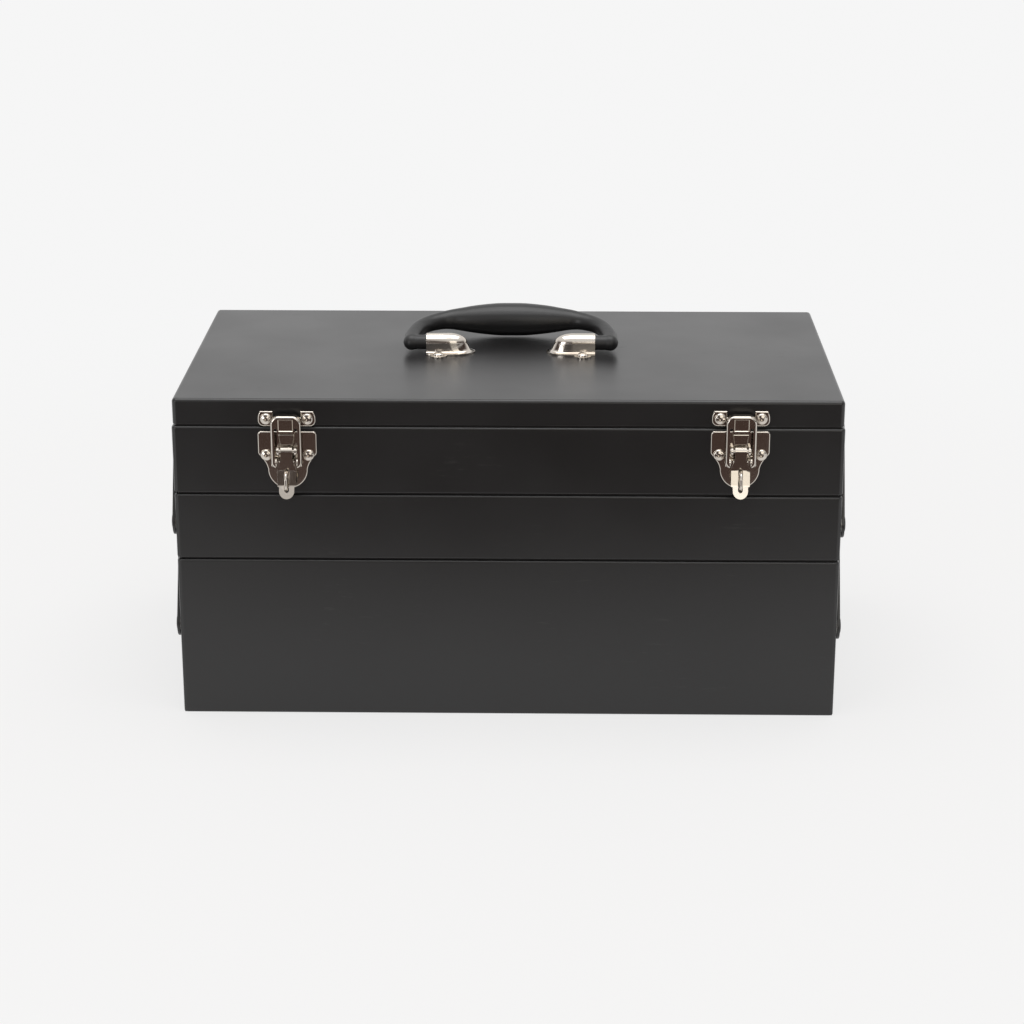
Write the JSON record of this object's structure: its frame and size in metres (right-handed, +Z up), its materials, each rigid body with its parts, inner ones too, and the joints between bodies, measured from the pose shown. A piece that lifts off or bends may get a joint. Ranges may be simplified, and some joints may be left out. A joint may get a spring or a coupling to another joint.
{
  "type": "drill bit case",
  "caption": "Black sheet-steel cantilever case for drill bits: deep base, two fold-out trays on side arms, hinged lid with folding handle and draw latches.",
  "frame": {"origin": "middle of the base's flat underside", "axes": "+X along the case to the right seen from the front, +Y from the front to the back, +Z up"},
  "size_m": [0.467, 0.2728, 0.2563],
  "materials": {
    "black_powder_coat": "fine satin powder coat on 1 mm sheet steel",
    "grey_powder_coat": "satin powder coat on thin sheet steel",
    "nickel_plate": "bright nickel plate on stamped steel",
    "zinc_plate": "plain zinc plate",
    "handle_moulding": "matt moulded plastic"
  },
  "bodies": {
    "base": {"base_walls": "black_powder_coat", "base_floor": "black_powder_coat", "base_divider": "grey_powder_coat", "base_arm_rivets": "black_powder_coat", "base_arm_washers": "zinc_plate"},
    "lower_front_arms": {"lower_front_arm_left": "black_powder_coat", "lower_front_arm_right": "black_powder_coat"},
    "lower_rear_arms": {"lower_rear_arm_left": "black_powder_coat", "lower_rear_arm_right": "black_powder_coat"},
    "middle_tray": {"middle_tray_walls": "black_powder_coat", "middle_tray_floor": "black_powder_coat", "middle_tray_dividers": "grey_powder_coat", "middle_tray_arm_rivets": "black_powder_coat", "middle_tray_arm_washers": "zinc_plate"},
    "upper_front_arms": {"upper_front_arm_left": "black_powder_coat", "upper_front_arm_right": "black_powder_coat"},
    "upper_rear_arms": {"upper_rear_arm_left": "black_powder_coat", "upper_rear_arm_right": "black_powder_coat"},
    "upper_tray": {"upper_tray_walls": "black_powder_coat", "upper_tray_floor": "black_powder_coat", "upper_tray_long_divider": "grey_powder_coat", "upper_tray_front_dividers": "grey_powder_coat", "upper_tray_rear_dividers": "grey_powder_coat", "upper_tray_arm_rivets": "black_powder_coat", "upper_tray_arm_washers": "zinc_plate", "tray_hinge_leaf": "black_powder_coat", "left_latch_plate": "nickel_plate", "left_latch_plate_rivets": "nickel_plate", "left_padlock_staple": "nickel_plate", "left_latch_lever_pin": "nickel_plate", "right_latch_plate": "nickel_plate", "right_latch_plate_rivets": "nickel_plate", "right_padlock_staple": "nickel_plate", "right_latch_lever_pin": "nickel_plate"},
    "lid": {"lid_shell": "black_powder_coat", "lid_hinge_leaf": "black_powder_coat", "hinge_pin": "zinc_plate", "left_handle_bracket": "nickel_plate", "right_handle_bracket": "nickel_plate", "handle_bracket_rivets": "nickel_plate", "left_latch_keeper": "nickel_plate", "left_latch_keeper_rivets": "nickel_plate", "right_latch_keeper": "nickel_plate", "right_latch_keeper_rivets": "nickel_plate"},
    "handle": {"handle": "handle_moulding"},
    "left_latch_lever": {"left_latch_lever": "nickel_plate", "left_latch_claw_pin": "nickel_plate"},
    "left_latch_claw": {"left_latch_claw": "nickel_plate"},
    "right_latch_lever": {"right_latch_lever": "nickel_plate", "right_latch_claw_pin": "nickel_plate"},
    "right_latch_claw": {"right_latch_claw": "nickel_plate"}
  },
  "joints": [
    {"name": "middle_swing", "type": "hinge", "parent": "base", "child": "lower_front_arms", "pos_m": [0, -0.113, 0.064], "axis": [1, 0, 0], "range_deg": [0, 52]},
    {"name": "lower_rear_swing", "type": "hinge", "parent": "base", "child": "lower_rear_arms", "pos_m": [0, 0.017, 0.064], "axis": [1, 0, 0], "range_deg": [0, 52]},
    {"name": "middle_level", "type": "hinge", "parent": "lower_front_arms", "child": "middle_tray", "pos_m": [0, -0.07203, 0.148], "axis": [1, 0, 0], "range_deg": [-52, 0]},
    {"name": "upper_swing", "type": "hinge", "parent": "middle_tray", "child": "upper_front_arms", "pos_m": [0, -0.113, 0.1396], "axis": [1, 0, 0], "range_deg": [0, 52]},
    {"name": "upper_rear_swing", "type": "hinge", "parent": "middle_tray", "child": "upper_rear_arms", "pos_m": [0, 0.017, 0.1396], "axis": [1, 0, 0], "range_deg": [0, 52]},
    {"name": "upper_level", "type": "hinge", "parent": "upper_front_arms", "child": "upper_tray", "pos_m": [0, -0.08549, 0.196], "axis": [1, 0, 0], "range_deg": [-52, 0]},
    {"name": "lid_hinge", "type": "hinge", "parent": "upper_tray", "child": "lid", "pos_m": [0, 0.1274, 0.2123], "axis": [-1, 0, 0], "range_deg": [0, 105]},
    {"name": "handle_hinge", "type": "hinge", "parent": "lid", "child": "handle", "pos_m": [0, 0, 0.2385], "axis": [1, 0, 0], "range_deg": [0, 166.27]},
    {"name": "left_latch_lever_hinge", "type": "hinge", "parent": "upper_tray", "child": "left_latch_lever", "pos_m": [-0.1508, -0.1304, 0.1959], "axis": [-1, 0, 0], "range_deg": [0, 120]},
    {"name": "left_latch_claw_hinge", "type": "hinge", "parent": "left_latch_lever", "child": "left_latch_claw", "pos_m": [-0.1508, -0.1304, 0.1879], "axis": [1, 0, 0], "range_deg": [0, 144]},
    {"name": "right_latch_lever_hinge", "type": "hinge", "parent": "upper_tray", "child": "right_latch_lever", "pos_m": [0.1586, -0.1304, 0.1974], "axis": [-1, 0, 0], "range_deg": [0, 120]},
    {"name": "right_latch_claw_hinge", "type": "hinge", "parent": "right_latch_lever", "child": "right_latch_claw", "pos_m": [0.1586, -0.1304, 0.1894], "axis": [1, 0, 0], "range_deg": [0, 144]}
  ],
  "couplings": [
    {"joint": "middle_level", "follows": "middle_swing", "ratio": -1},
    {"joint": "lower_rear_swing", "follows": "middle_swing", "ratio": 1},
    {"joint": "upper_level", "follows": "upper_swing", "ratio": -1},
    {"joint": "upper_rear_swing", "follows": "upper_swing", "ratio": 1},
    {"joint": "left_latch_claw_hinge", "follows": "left_latch_lever_hinge", "ratio": 1.2},
    {"joint": "right_latch_claw_hinge", "follows": "right_latch_lever_hinge", "ratio": 1.2}
  ]
}
